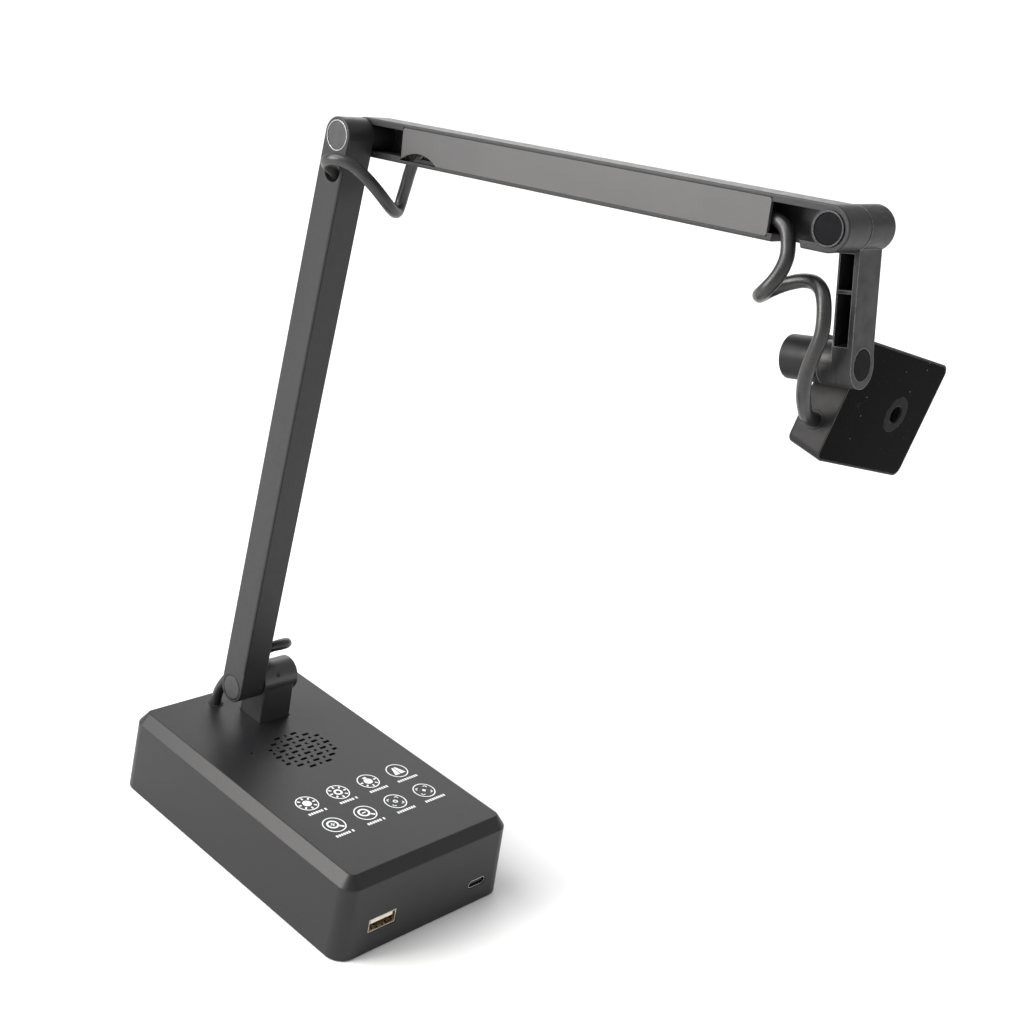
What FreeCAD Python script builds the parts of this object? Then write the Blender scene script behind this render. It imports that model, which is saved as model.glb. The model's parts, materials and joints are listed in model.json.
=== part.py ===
"""Folding document camera: a flat base, two arms, a wrist link and a tilting camera head.

Millimetres. The origin is the centre of the rubber pad's bottom face, +Z is up, the front edge with the
USB sockets faces -Y and +X is to the right. The arms lean and the head rolls as they do when it is set up.
"""
import FreeCAD, Part
import math
import os
from FreeCAD import Matrix, Placement, Rotation, Vector

# ---- base ----
BASE_X = 84.45
BASE_Y = 137.05
BASE_TOP = 34.16
CASE_Z0 = 0.5                # the rubber pad lifts the case by this much
CHAMFER_IN = 3.44
CHAMFER_DOWN = 4.52
WALL_DRAFT = 1.11            # each side wall leans in by this much over its height
CORNER_R = 7.0
COVER_T = 2.2
FLOOR_T = 2.4
GRILLE_Y = 10.6
GRILLE_PITCH_X = 4.0
GRILLE_PITCH_Y = 2.85
SLOT = (3.1, 1.25)
MIC_XY = (-19.4, 18.2)

# ---- sockets in the front wall ----
USB_A_X = (-29.05, -15.95)
USB_A_Z = (8.8, 14.5)
USB_C_X = (22.3, 31.24)
USB_C_Z = (7.82, 11.02)
BOARD_Z = 6.2
BOARD_T = 1.6

# ---- arms ----
ARM_W = 11.5                 # along X
ARM_R = 6.25                 # lower arm: half height, and the radius of the rounded ends
UPPER_R = 6.5                # the same for the upper arm and the wrist barrel
ARM_GAP = 0.3                # between two members on one hinge
WEB_T = 1.7
POCKET_H = 3.8               # half height of the inner channel, lower arm
UPPER_POCKET_H = 4.3         # and upper arm
BOSS_R = 5.5                 # hinge bosses of the upper arm, which its channel runs round
EDGE_R = 0.45                # rounding along the outline of both arms
COVER_H = 5.35               # half height of the cover plate
COVER_PLATE_T = 1.2
LOWER_X0 = -15.0             # solid face of the lower arm
UPPER_X1 = 8.4               # solid face of the upper arm
BASE_HINGE = Vector(0, 41.12, 50.91)
LOWER_LEN = 223.9
LOWER_LEAN = 4.48
UPPER_LEN = 188.0
UPPER_PITCH = 5.46
NOTCH_R = 14.3
NOTCH_TOP = -2.3
NOTCH_ALONG = 28.0
CABLE_HOLE_DOWN = 12.0       # cable hole below the elbow, in the solid face
CABLE_HOLE_R = 3.9

# ---- wrist link ----
LINK_X0 = UPPER_X1 + ARM_GAP
BARREL_LEN = 12.6
LINK_LEAN = 12.0
LINK_LEN = 37.6              # wrist axis to pivot axis
LINK_X = (LINK_X0, 20.4)
LINK_Y = (-3.2, 3.3)
PIVOT_X = 14.8
PIVOT_R = 6.5
LINK_BARREL_R = 6.1
LINK_END_DROP = 0.8          # the link's rounded end reaches this much further down than the barrel
PIVOT_SPLIT = 8.0            # how far behind the wrist axis the link's barrel ends
PIVOT_BACK = 20.4            # and the head's barrel

# ---- head ----
HEAD_ROLL = 13.12
HEAD_CANT = 15.67            # the head leans back from square to its pivot
PANEL_BACK = 1.8             # panel behind the wrist axis, on the pivot axis
HEAD_U = (6.96, 56.85)       # left and right edge from the pivot
HEAD_V = (-29.32, 8.14)      # bottom and top edge from the pivot
HEAD_D = 12.7
HEAD_DRAFT = 1.1
HEAD_WALL = 1.5
LENS_UV = (39.2, -10.6)
LENS_R = 3.6
BEZEL_R = 7.6
LED_IN = 18.0                # the lights sit this far from the lens, towards the pivot
LED_APART = 8.0              # and this far above and below it
LED_R = 2.6
PIN_IN = 9.56                # small pinhole, from the head's left edge
TRIPOD_R = 2.6               # minor radius of a quarter-inch thread
HEAD_HOLE_R = 2.9
HEAD_CABLE_UV = (6.2, -19.1)  # depth and height of the cable hole in the side face

# ---- hinge hardware ----
SHAFT_R = 3.0
BORE_R = 3.05
CAP_T = 0.9
HEAD_R = 4.1
CBORE_R = 4.8
NUT_T = 2.6

CABLE_R = 2.1
DEG = math.pi / 180
TINY = 1e-6

os.makedirs("parts", exist_ok=True)


def box(x0, x1, y0, y1, z0, z1):
    return Part.makeBox(x1 - x0, y1 - y0, z1 - z0, Vector(x0, y0, z0))


def cyl(r, p, d, h):
    return Part.makeCylinder(r, h, Vector(*p), Vector(*d))


def tube_ring(r_out, r_in, p, d, h):
    return cyl(r_out, p, d, h).cut(cyl(r_in, p, d, h))


def rounded_wire(x0, x1, y0, y1, radii, z):
    """Closed outline in a level plane; radii are for the corners (x0,y0), (x1,y0), (x1,y1), (x0,y1)."""
    corners = [(x0, y0, 1, 1), (x1, y0, -1, 1), (x1, y1, -1, -1), (x0, y1, 1, -1)]
    edges = []
    ends = []
    for i, (cx, cy, sx, sy) in enumerate(corners):
        r = radii[i]
        along_x = Vector(cx + sx * r, cy, z)
        along_y = Vector(cx, cy + sy * r, z)
        k = r * (1 - math.sqrt(0.5))
        mid = Vector(cx + sx * k, cy + sy * k, z)
        a, b = (along_y, along_x) if i % 2 == 0 else (along_x, along_y)
        ends.append((a, b))
        edges.append(Part.Arc(a, mid, b).toShape())
    wire = []
    for i in range(4):
        wire.append(edges[i])
        wire.append(Part.LineSegment(ends[i][1], ends[(i + 1) % 4][0]).toShape())
    return Part.Wire(wire)


def loft(wires):
    return Part.makeLoft(wires, True, True)


def tube(points, name="", r=CABLE_R):
    """A cable along straight runs joined by tangent arcs. A named one prints its length and bend radii."""
    pts = [Vector(*p) for p in points]
    edges = []
    radii = []
    last = pts[0]
    for i in range(1, len(pts) - 1):
        a = pts[i - 1] - pts[i]
        b = pts[i + 1] - pts[i]
        run = min(a.Length, b.Length)
        turn = math.pi - a.getAngle(b)
        cut = 0.45 * run
        rad = cut / math.tan(turn / 2)
        a.normalize()
        b.normalize()
        p0 = pts[i] + a * cut
        p1 = pts[i] + b * cut
        centre_dir = (a + b).normalize()
        centre = pts[i] + centre_dir * (rad / math.cos(turn / 2))
        mid = centre - centre_dir * rad
        edges.append(Part.LineSegment(last, p0).toShape())
        edges.append(Part.Arc(p0, mid, p1).toShape())
        radii.append(rad)
        last = p1
    edges.append(Part.LineSegment(last, pts[-1]).toShape())
    path = Part.Wire(edges)
    d = (pts[1] - pts[0]).normalize()
    ring = Part.Wire([Part.Circle(pts[0], d, r).toShape()])
    solid = path.makePipeShell([ring], True, False)
    if name:
        share = solid.Volume / (math.pi * r * r * path.Length)
        print(f"{name}: length {path.Length:.1f}, volume ratio {share:.4f}, radii",
              " ".join(f"{x:.1f}" for x in radii))
    return solid


def turned(shape, deg, at):
    """Turn about the X axis through the origin, then move."""
    s = shape.copy()
    s.Placement = Placement(Vector(*at), Rotation(Vector(1, 0, 0), deg)).multiply(s.Placement)
    return s


def save(name, *solids):
    shape = solids[0] if len(solids) == 1 else Part.makeCompound(list(solids))
    for s in shape.Solids:
        if not s.isValid():
            print("INVALID", name)
    shape.exportStep(f"parts/{name}.step")
    NODES.append((name, len(shape.Solids), shape.Volume))


NODES = []

# ---------------------------------------------------------------- hinge stack


def hinge_cuts_first(cap_r):
    """What the head side of a hinge removes from its member: cap recess, head pocket, tight bore."""
    s = cyl(cap_r, (0, 0, 0), (1, 0, 0), CAP_T)
    s = s.fuse(cyl(HEAD_R + 0.1, (0, 0, 0), (1, 0, 0), 3.6))
    return s.fuse(cyl(SHAFT_R, (0, 0, 0), (1, 0, 0), 40))


def hinge_cuts_second(joint, floor, end):
    """What the nut side removes: running bore, and the counterbore for washers, nut and plug."""
    s = cyl(BORE_R, (joint, 0, 0), (1, 0, 0), end - joint)
    return s.fuse(cyl(CBORE_R, (floor, 0, 0), (1, 0, 0), end - floor))


def hinge_shaft(floor):
    s = cyl(HEAD_R, (1.0, 0, 0), (1, 0, 0), 2.6)
    return s.fuse(cyl(SHAFT_R, (3.6, 0, 0), (1, 0, 0), floor + 4.0 - 3.6))


def hinge_friction_washer(joint):
    return tube_ring(5.4, SHAFT_R, (joint, 0, 0), (1, 0, 0), 0.2)


def hinge_spring_washer(floor):
    return tube_ring(4.4, SHAFT_R, (floor + 0.05, 0, 0), (1, 0, 0), 0.9)


def hinge_nut(floor):
    hexagon = Part.makePolygon([Vector(0, 4.4 * math.cos(k * 60 * DEG), 4.4 * math.sin(k * 60 * DEG))
                                for k in range(7)])
    nut = Part.Face(hexagon).extrude(Vector(NUT_T, 0, 0))
    nut.translate(Vector(floor + 0.95, 0, 0))
    return nut.cut(cyl(SHAFT_R, (floor, 0, 0), (1, 0, 0), 8))


def hinge_hardware(joint, floor):
    """The friction washer at the joint, then the spring washer and nut in the counterbore."""
    return [hinge_friction_washer(joint), hinge_spring_washer(floor), hinge_nut(floor)]


def hinge_plug(end):
    """Domed plug that closes the nut's counterbore."""
    return cyl(CBORE_R, (end - CAP_T, 0, 0), (1, 0, 0), CAP_T)


def domed_cap(r, proud=0.0):
    """Round cap in its recess, with a softened rim."""
    c = cyl(r, (-proud, 0, 0), (1, 0, 0), CAP_T + proud)
    rim = [e for e in c.Edges if e.Curve.TypeId == "Part::GeomCircle"
           and abs(e.CenterOfMass.x + proud) < TINY]
    return c.makeFillet(0.25, rim)


def on_x_hinge(shape, x0, hinge):
    s = shape.copy()
    s.translate(Vector(x0, hinge.y, hinge.z))
    return s


# ---------------------------------------------------------------- base


def base_outline(inset, z):
    """Outline of the case at a height: the walls lean in, then the top edge is bevelled."""
    z_shoulder = BASE_TOP - CHAMFER_DOWN
    lean = WALL_DRAFT * min(z - CASE_Z0, z_shoulder - CASE_Z0) / (z_shoulder - CASE_Z0)
    bevel = CHAMFER_IN * max(0.0, z - z_shoulder) / CHAMFER_DOWN
    i = inset + lean + bevel
    r = max(CORNER_R - inset - lean - bevel, 2.0)
    return rounded_wire(-BASE_X / 2 + i, BASE_X / 2 - i, -BASE_Y / 2 + i, BASE_Y / 2 - i, [r] * 4, z)


def grille_openings():
    """Nine rows of short slots that alternate with small square holes, in a round field."""
    cut = []
    for row in range(-4, 5):
        y = GRILLE_Y + row * GRILLE_PITCH_Y
        reach = {0: 3, 1: 3, 2: 3, 3: 2, 4: 1}[abs(row)]
        for col in range(-reach, reach + 1):
            is_slot = (row + col) % 2 == 1
            w = SLOT[0] if is_slot else SLOT[1]
            x = col * GRILLE_PITCH_X
            if abs(row) == 2 and abs(col) == 3:
                w = 2.3
                x = x * 0.975
            half = SLOT[1] / 2
            cut.append(box(x - w / 2, x + w / 2, y - half, y + half, BASE_TOP - 4, BASE_TOP + 1))
    return Part.makeCompound(cut)


FRONT_SCREW_XY = [(-11.5, -54.0), (11.5, -54.0)]
SCREW_XY = FRONT_SCREW_XY + [(-27.0, 53.0), (27.0, 53.0)]
POST_X = (-3.2, 11.9)
POST_Y = (34.2, 48.4)
GROMMET_XY = (-9.4, 56.2)
GROMMET_R = 3.0
SET_SCREW_X = 3.2
SET_SCREW_UP = 33.0
POST_END = 13.3              # right end of the hinge barrel
POST_BARREL_R = 7.1
POST_FLOOR = 8.0             # bottom of its counterbore
POST_SCREW_XY = [(-1.0 + dx, y) for dx in (0, 19.0) for y in (30.5, 52.0)]


def is_level(edge):
    return abs(edge.BoundBox.ZMin - edge.BoundBox.ZMax) < TINY


def top_cover():
    z_top_in = BASE_TOP - COVER_T
    z_shoulder = BASE_TOP - CHAMFER_DOWN
    outer = loft([base_outline(0, CASE_Z0), base_outline(0, z_shoulder), base_outline(0, BASE_TOP)])
    edge = [e for e in outer.Edges if is_level(e) and e.BoundBox.ZMin > z_shoulder - 1]
    outer = outer.makeFillet(0.7, edge)
    inner = loft([base_outline(COVER_T, CASE_Z0 - 0.01), base_outline(COVER_T, z_shoulder - 1.0),
                  base_outline(COVER_T, z_top_in)])
    s = outer.cut(inner)
    # screw bosses run down from the top wall, post pad under the hinge post
    for x, y in SCREW_XY:
        boss = cyl(3.6, (x, y, FLOOR_T + 0.6), (0, 0, 1), z_top_in - FLOOR_T)
        s = s.fuse(boss).cut(cyl(1.25, (x, y, 0), (0, 0, 1), 16))
    s = s.cut(box(POST_X[0] - 0.1, POST_X[1] + 0.1, POST_Y[0] - 0.1, POST_Y[1] + 0.1, 20, BASE_TOP + 1))
    s = s.cut(grille_openings())
    s = s.cut(cyl(0.6, (*MIC_XY, 25), (0, 0, 1), 12))
    s = s.cut(cyl(GROMMET_R, (*GROMMET_XY, 25), (0, 0, 1), 12))
    for x, y in POST_SCREW_XY:
        s = s.cut(cyl(1.1, (x, y, z_top_in - 0.1), (0, 0, 1), 1.6))
    front = -BASE_Y / 2 - 2
    a = box(USB_A_X[0] - 0.15, USB_A_X[1] + 0.15, front, front + 8, USB_A_Z[0] - 0.15, USB_A_Z[1] + 0.15)
    s = s.cut(a)
    return s.cut(usb_c_body(0.15, front, front + 8))


def usb_c_body(grow, y0, y1):
    """Flat oval bar along Y, the shape of the small socket."""
    half = (USB_C_Z[1] - USB_C_Z[0]) / 2 + grow
    zc = (USB_C_Z[0] + USB_C_Z[1]) / 2
    xa = USB_C_X[0] - grow + half
    xb = USB_C_X[1] + grow - half
    s = box(xa, xb, y0, y1, zc - half, zc + half)
    for x in (xa, xb):
        s = s.fuse(cyl(half, (x, y0, zc), (0, 1, 0), y1 - y0))
    return s.removeSplitter()


def bottom_cover():
    s = loft([base_outline(COVER_T + 0.15, CASE_Z0), base_outline(COVER_T + 0.15, CASE_Z0 + FLOOR_T)])
    for x, y in SCREW_XY:
        s = s.cut(cyl(3.3, (x, y, 0), (0, 0, 1), CASE_Z0 + 1.45)).cut(cyl(1.7, (x, y, 0), (0, 0, 1), 8))
    s = s.cut(pad_ring(0.0, CASE_Z0 + 0.6))
    for x in (-30.0, 30.0):
        for y in (-48.0, -8.0):
            s = s.fuse(cyl(2.6, (x, y, CASE_Z0 + FLOOR_T), (0, 0, 1), BOARD_Z - CASE_Z0 - FLOOR_T))
    return s


def pad_ring(z0, z1):
    """Ring of rubber round the bottom: the whole camera stands on it."""
    i = 5.5
    w = 5.0
    outer = rounded_wire(-BASE_X / 2 + i, BASE_X / 2 - i, -BASE_Y / 2 + i, BASE_Y / 2 - i, [9.0] * 4, z0)
    j = i + w
    inner = rounded_wire(-BASE_X / 2 + j, BASE_X / 2 - j, -BASE_Y / 2 + j, BASE_Y / 2 - j, [5.0] * 4, z0)
    return Part.Face(outer).cut(Part.Face(inner)).extrude(Vector(0, 0, z1 - z0))


def case_screws():
    out = []
    for x, y in SCREW_XY:
        head = cyl(2.9, (x, y, CASE_Z0 + 0.1), (0, 0, 1), 1.35)
        head = head.cut(box(x - 0.4, x + 0.4, y - 2, y + 2, CASE_Z0, CASE_Z0 + 0.8))
        head = head.cut(box(x - 2, x + 2, y - 0.4, y + 0.4, CASE_Z0, CASE_Z0 + 0.8))
        out.append(head.fuse(cyl(1.2, (x, y, 1.5), (0, 0, 1), 9.0)))
    return out


def make_base():
    save("top_cover", top_cover())
    save("bottom_cover", bottom_cover())
    save("base_pad", pad_ring(0.0, CASE_Z0 + 0.6))
    save("case_screws", *case_screws())
    plate = box(-36, 36, -1, 48, CASE_Z0 + FLOOR_T, CASE_Z0 + FLOOR_T + 6.0)
    save("ballast_plate", plate.cut(cyl(3.0, (0, 26, 0), (0, 0, 1), 20)))
    board_top = BOARD_Z + BOARD_T
    board = box(-35, 35, -64.5, -3, BOARD_Z, board_top)
    board = board.cut(usb_c_body(0.05, -66, -60.5))
    for x, y in FRONT_SCREW_XY:
        board = board.cut(cyl(4.2, (x, y, 0), (0, 0, 1), 20))
    processor = box(-8, 6, -40, -26, board_top, board_top + 1.4)
    small_chips = [box(12, 21, -34, -25, board_top, board_top + 1.0),
                   box(-27, -21, -30, -22, board_top, board_top + 1.0)]
    capacitor = cyl(3, (26, -16, board_top), (0, 0, 1), 6.5)
    connector = box(-26, -14, -12, -6, board_top, board_top + 7)
    save("main_board", board, processor, *small_chips, capacitor, connector)
    make_sockets(board_top)
    top_in = BASE_TOP - COVER_T
    save("touch_board", box(-31, 31, -45.5, -12.0, top_in - 1.2, top_in))
    ring = tube_ring(15.2, 12.6, (0, GRILLE_Y, top_in - 3.0), (0, 0, 1), 3.0)
    basket = Part.makeCone(8.0, 14.2, 6.0, Vector(0, GRILLE_Y, top_in - 9.0))
    basket = basket.cut(Part.makeCone(6.8, 13.0, 6.01, Vector(0, GRILLE_Y, top_in - 9.0)))
    save("speaker_frame", ring.fuse(basket))
    save("speaker_magnet", cyl(9.0, (0, GRILLE_Y, top_in - 15.0), (0, 0, 1), 6.0))
    cone = Part.makeCone(5.0, 12.5, 4.4, Vector(0, GRILLE_Y, top_in - 5.4))
    cone = cone.cut(Part.makeCone(4.6, 12.2, 4.0, Vector(0, GRILLE_Y, top_in - 4.99)))
    save("speaker_cone", cone)
    save("microphone", cyl(2.2, (*MIC_XY, top_in - 2.0), (0, 0, 1), 2.0))
    g = cyl(GROMMET_R, (*GROMMET_XY, top_in), (0, 0, 1), COVER_T + 0.2)
    g = g.fuse(cyl(GROMMET_R + 1.0, (*GROMMET_XY, top_in - 1.0), (0, 0, 1), 1.0))
    save("cable_grommet", g.cut(tube(BASE_TAIL)).cut(tube(BASE_LOOP)))


def make_sockets(board_top):
    front = -BASE_Y / 2 + 0.55
    x0, x1 = USB_A_X
    z0, z1 = USB_A_Z
    t = 0.4
    shell = box(x0, x1, front, front + 14, z0, z1)
    shell = shell.cut(box(x0 + t, x1 - t, front, front + 13.6, z0 + t, z1 - t))
    legs = box(x0, x0 + 1.2, front + 3, front + 6, board_top, z0).fuse(
        box(x1 - 1.2, x1, front + 3, front + 6, board_top, z0))
    save("usb_a_shell", shell.fuse(legs))
    tongue = box(x0 + 1.2, x1 - 1.2, front + 0.5, front + 13.6, z1 - t - 2.0, z1 - t - 0.15)
    save("usb_a_tongue", tongue)
    blades = []
    for k in range(4):
        x = (x0 + x1) / 2 + (k - 1.5) * 2.3
        blades.append(box(x - 0.5, x + 0.5, front + 2.4, front + 10, z1 - t - 2.2, z1 - t - 2.0))
    save("usb_a_contacts", *blades)
    body = usb_c_body(0.0, front, front + 7.3)
    save("usb_c_shell", body.cut(usb_c_body(-0.32, front, front + 6.9)))
    zc = (USB_C_Z[0] + USB_C_Z[1]) / 2
    tongue = box(USB_C_X[0] + 1.3, USB_C_X[1] - 1.3, front + 0.6, front + 6.9, zc - 0.35, zc + 0.35)
    save("usb_c_tongue", tongue)


def set_screw(start, length):
    """Small screw that locks the base hinge's shaft from the front, a third of the way up the barrel."""
    a = SET_SCREW_UP * DEG
    outward = Vector(0, -math.cos(a), math.sin(a))
    at = BASE_HINGE + Vector(SET_SCREW_X, 0, 0) + outward * start
    return cyl(0.9, at, outward * -1, length)


def make_post():
    """Cast post: a foot under the top cover, a square neck and the hinge barrel."""
    top_in = BASE_TOP - COVER_T
    foot = box(-4.5, 21.5, 27.0, 55.5, top_in - 4.0, top_in)
    foot = foot.cut(cyl(6.0, (*GROMMET_XY, 20), (0, 0, 1), 20))
    neck = box(POST_X[0], POST_X[1], POST_Y[0], POST_Y[1], top_in - 4.0, BASE_HINGE.z)
    upright = [e for e in neck.Edges if e.BoundBox.ZLength > 5]
    neck = neck.makeFillet(1.2, upright)
    barrel = cyl(POST_BARREL_R, (POST_X[0], BASE_HINGE.y, BASE_HINGE.z), (1, 0, 0), POST_END - POST_X[0])
    rim = [e for e in barrel.Edges if e.Curve.TypeId == "Part::GeomCircle"]
    barrel = barrel.makeFillet(0.4, rim)
    s = foot.fuse(neck).fuse(barrel)
    nut_side = hinge_cuts_second(POST_X[0] - LOWER_X0 - 1, POST_FLOOR - LOWER_X0, POST_END - LOWER_X0 + 0.01)
    s = s.cut(on_x_hinge(nut_side, LOWER_X0, BASE_HINGE))
    s = s.cut(set_screw(8.0, 3.0))
    screws = []
    for x, y in POST_SCREW_XY:
        s = s.cut(cyl(1.6, (x, y, 20), (0, 0, 1), top_in - 20))
        head = cyl(2.6, (x, y, top_in - 6.0), (0, 0, 1), 2.0)
        screws.append(head.fuse(cyl(1.05, (x, y, top_in - 4.0), (0, 0, 1), 5.4)))
    save("hinge_post", s)
    screws.append(set_screw(6.85, 1.7))
    save("post_screws", *screws)


# ---------------------------------------------------------------- arms


def stadium(length, x0, x1, r=ARM_R):
    s = box(x0, x1, -r, r, 0, length)
    for z in (0, length):
        s = s.fuse(cyl(r, (x0, 0, z), (1, 0, 0), x1 - x0))
    return s.removeSplitter()


def arm_channel(length, x_solid, sign, r, pocket):
    """Arm with a channel cut from its open face. sign is the X direction from solid face to open face."""
    xs = sorted((x_solid, x_solid + sign * ARM_W))
    s = stadium(length, *xs, r)
    outline = [e for e in s.Edges
               if min(abs(e.BoundBox.XMin - x) + abs(e.BoundBox.XMax - x) for x in xs) < TINY]
    s = s.makeFillet(EDGE_R, outline).cut(pocket)
    rx = sorted((x_solid + sign * (ARM_W - COVER_PLATE_T), x_solid + sign * (ARM_W + 1)))
    return s.cut(box(*rx, -COVER_H, COVER_H, *cover_span(length, 0.1)))


def cover_span(length, room=0.0):
    """Where the cover plate starts and ends along an arm."""
    return 19.7 - room, length - 19.2 + room


def notch_cut(x0, x1):
    """Shallow arc by the elbow, where the cable comes through the lower flange."""
    return cyl(NOTCH_R, (x0, NOTCH_TOP - NOTCH_R, NOTCH_ALONG), (1, 0, 0), x1 - x0)


def arm_cover(length, x_solid, sign, pocket_h, notch):
    """Flush plate that closes the channel, with a shallow arc cut out of its lower edge by the cable."""
    x = sorted((x_solid + sign * (ARM_W - COVER_PLATE_T), x_solid + sign * ARM_W))
    h = COVER_H - 0.07
    s = box(*x, -h, h, *cover_span(length))
    corners = [e for e in s.Edges if e.BoundBox.XLength > 0.5]
    s = s.makeFillet(0.8, corners)
    if notch:
        s = s.cut(notch_cut(x[0] - 1, x[0] + 3))
    lip = sorted((x_solid + sign * (ARM_W - COVER_PLATE_T - 1.0), x_solid + sign * (ARM_W - COVER_PLATE_T)))
    for z in (45.0, length / 2, length - 45.0):
        for y in (-pocket_h + 0.05, pocket_h - 0.85):
            s = s.fuse(box(*lip, y, y + 0.8, z - 3, z + 3))
    return s


def cap_ring(r_out, r_in, proud=0.12):
    return tube_ring(r_out, r_in, (-proud, 0, 0), (1, 0, 0), CAP_T + proud)


UP_A = 90 - UPPER_PITCH
ELBOW = Vector(0, BASE_HINGE.y - LOWER_LEN * math.sin(LOWER_LEAN * DEG),
               BASE_HINGE.z + LOWER_LEN * math.cos(LOWER_LEAN * DEG))
WRIST = Vector(0, ELBOW.y - UPPER_LEN * math.cos(UPPER_PITCH * DEG),
               ELBOW.z + UPPER_LEN * math.sin(UPPER_PITCH * DEG))
UPPER_X0 = UPPER_X1 - ARM_W - 0.1


def make_lower_arm():
    solid_end = ARM_R + 1.0
    pocket = box(LOWER_X0 + WEB_T, LOWER_X0 + ARM_W + 1, -POCKET_H, POCKET_H, solid_end, LOWER_LEN - solid_end)
    s = arm_channel(LOWER_LEN, LOWER_X0, 1, ARM_R, pocket)
    for z in (0, LOWER_LEN):
        c = hinge_cuts_first(5.2)
        c.translate(Vector(LOWER_X0, 0, z))
        s = s.cut(c)
    s = s.cut(cyl(CABLE_HOLE_R, (LOWER_X0 - 1, -0.9, LOWER_LEN - CABLE_HOLE_DOWN), (1, 0, 0), 5))
    save("lower_arm", turned(s, LOWER_LEAN, BASE_HINGE))
    cover = arm_cover(LOWER_LEN, LOWER_X0, 1, POCKET_H, False)
    save("lower_arm_cover", turned(cover, LOWER_LEAN, BASE_HINGE))
    joint = ARM_W
    post_floor = POST_FLOOR - LOWER_X0

    def at_base(shape):
        return on_x_hinge(shape, LOWER_X0, BASE_HINGE)

    def at_elbow(shape):
        return on_x_hinge(shape, LOWER_X0, ELBOW)

    elbow_floor = UPPER_X1 - LOWER_X0 - 6.0
    save("base_hinge_shaft", at_base(hinge_shaft(post_floor)))
    save("base_hinge_nut", *[at_base(s) for s in hinge_hardware(joint, post_floor)])
    save("base_hinge_plug", on_x_hinge(hinge_plug(POST_END), 0, BASE_HINGE))
    save("lower_arm_caps", at_base(domed_cap(4.85)), at_elbow(domed_cap(4.8)))
    save("lower_arm_cap_rings", at_base(cap_ring(5.2, 4.85)), at_elbow(cap_ring(5.2, 4.8)))
    save("elbow_shaft", at_elbow(hinge_shaft(elbow_floor)))
    save("elbow_nut", *[at_elbow(s) for s in hinge_hardware(joint, elbow_floor)])


def make_upper_arm():
    x_open = UPPER_X1 - ARM_W - 1
    x_web = UPPER_X1 - WEB_T
    pocket = box(x_open, x_web, -UPPER_POCKET_H, UPPER_POCKET_H, 0, UPPER_LEN)
    for z in (0, UPPER_LEN):
        pocket = pocket.cut(cyl(BOSS_R, (x_open, 0, z), (1, 0, 0), ARM_W + 1))
    s = arm_channel(UPPER_LEN, UPPER_X1, -1, UPPER_R, pocket)
    ledge = notch_cut(x_open, x_open + 4.5).common(box(x_open, x_open + 4.5, -COVER_H, 0, 0, UPPER_LEN))
    s = s.cut(ledge)
    nut = hinge_cuts_second(0, UPPER_X1 - LOWER_X0 - 6.0, UPPER_X1 - LOWER_X0 + 0.01)
    nut.translate(Vector(LOWER_X0, 0, 0))
    s = s.cut(nut)
    head = hinge_cuts_first(4.9)
    head.translate(Vector(UPPER_X0 + 0.1, 0, UPPER_LEN))
    s = s.cut(head)
    # cable in through the bottom flange by the elbow, out through a gap in it before the wrist
    s = s.cut(cyl(3.1, (2.2, 0, 20.6), (0, -1, 0), 12).fuse(box(-0.9, 5.3, -12, 0, 20.6, 24.8)))
    gap = Part.makePolygon([Vector(0, -UPPER_R - 1, 170.4), Vector(0, -UPPER_POCKET_H + 0.1, 170.7),
                            Vector(0, -UPPER_POCKET_H + 0.1, 179.4), Vector(0, -UPPER_R - 1, 180.8),
                            Vector(0, -UPPER_R - 1, 170.4)])
    slot = Part.Face(gap).extrude(Vector(ARM_W - WEB_T + 1, 0, 0))
    slot.translate(Vector(UPPER_X0 - 0.9, 0, 0))
    s = s.cut(slot)
    save("upper_arm", turned(s, UP_A, ELBOW))
    save("upper_arm_cover", turned(arm_cover(UPPER_LEN, UPPER_X1, -1, UPPER_POCKET_H, True), UP_A, ELBOW))
    save("upper_arm_plug", on_x_hinge(hinge_plug(UPPER_X1), 0, ELBOW))

    def at_wrist(shape):
        return on_x_hinge(shape, UPPER_X1 - ARM_W, WRIST)

    floor = LINK_X0 + BARREL_LEN - 6.5 - (UPPER_X1 - ARM_W)
    save("wrist_cap", at_wrist(domed_cap(4.4, 0.35)))
    save("wrist_cap_ring", at_wrist(cap_ring(4.9, 4.4, 0.5)))
    save("wrist_shaft", at_wrist(hinge_shaft(floor)))
    save("wrist_nut", *[at_wrist(s) for s in hinge_hardware(ARM_W, floor)])


# ---------------------------------------------------------------- wrist link


LINK_ROT = Rotation(Vector(1, 0, 0), -LINK_LEAN)
PIVOT = WRIST + LINK_ROT.multVec(Vector(PIVOT_X, 0, -LINK_LEN))
PIVOT_AXIS = LINK_ROT.multVec(Vector(0, 1, 0))


def on_pivot(shape):
    """From a stack along +X with its head at the origin to the head pivot, which points back."""
    s = shape.copy()
    to_y = Placement(Vector(PIVOT_X, LINK_Y[0], -LINK_LEN), Rotation(Vector(0, 0, 1), 90))
    link = Placement(WRIST, LINK_ROT)
    s.Placement = link.multiply(to_y).multiply(s.Placement)
    return s


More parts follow.
